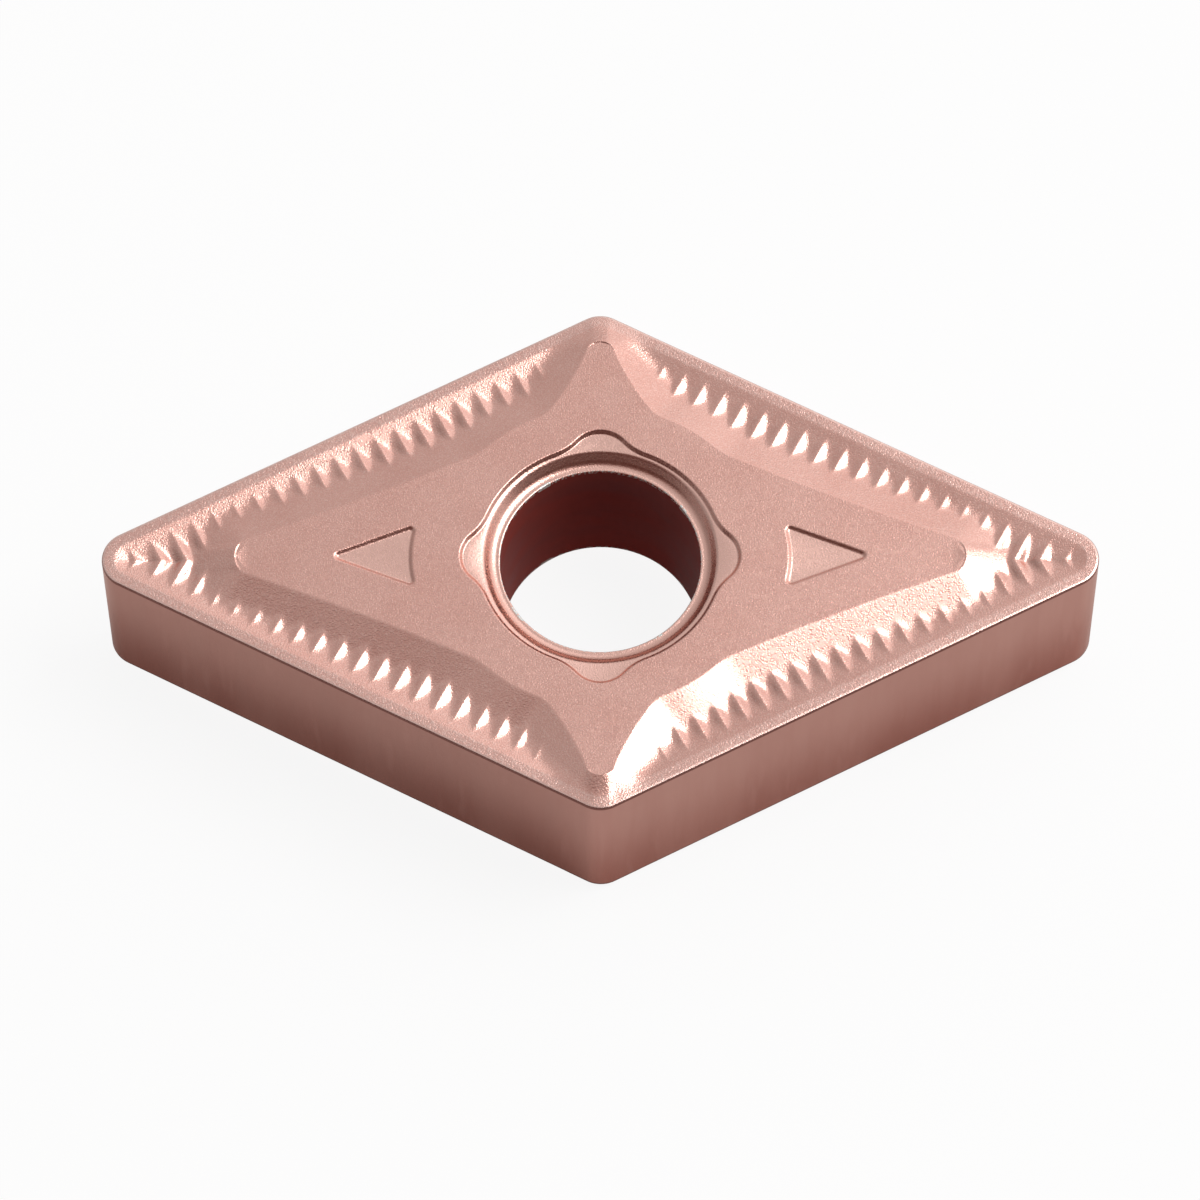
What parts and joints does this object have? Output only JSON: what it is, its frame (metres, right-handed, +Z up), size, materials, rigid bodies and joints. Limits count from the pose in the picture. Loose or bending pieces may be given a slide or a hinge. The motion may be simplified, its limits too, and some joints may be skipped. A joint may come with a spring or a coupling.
{
  "type": "turning insert",
  "caption": "Rhombic cutting insert of coated carbide, the same on both faces, with a round through hole, a raised star-shaped seat and a ridged chip groove along every edge.",
  "frame": {"origin": "centre of the lower seat face, on the hole's axis", "axes": "+Z up along the hole's axis; +X through a sharp corner; +Y through a blunt corner"},
  "size_m": [0.0256, 0.0142, 0.0051],
  "materials": {
    "coated_carbide": "satin copper-coloured hard coating on cemented carbide"
  },
  "bodies": {
    "root": {"insert": "coated_carbide"}
  },
  "joints": []
}
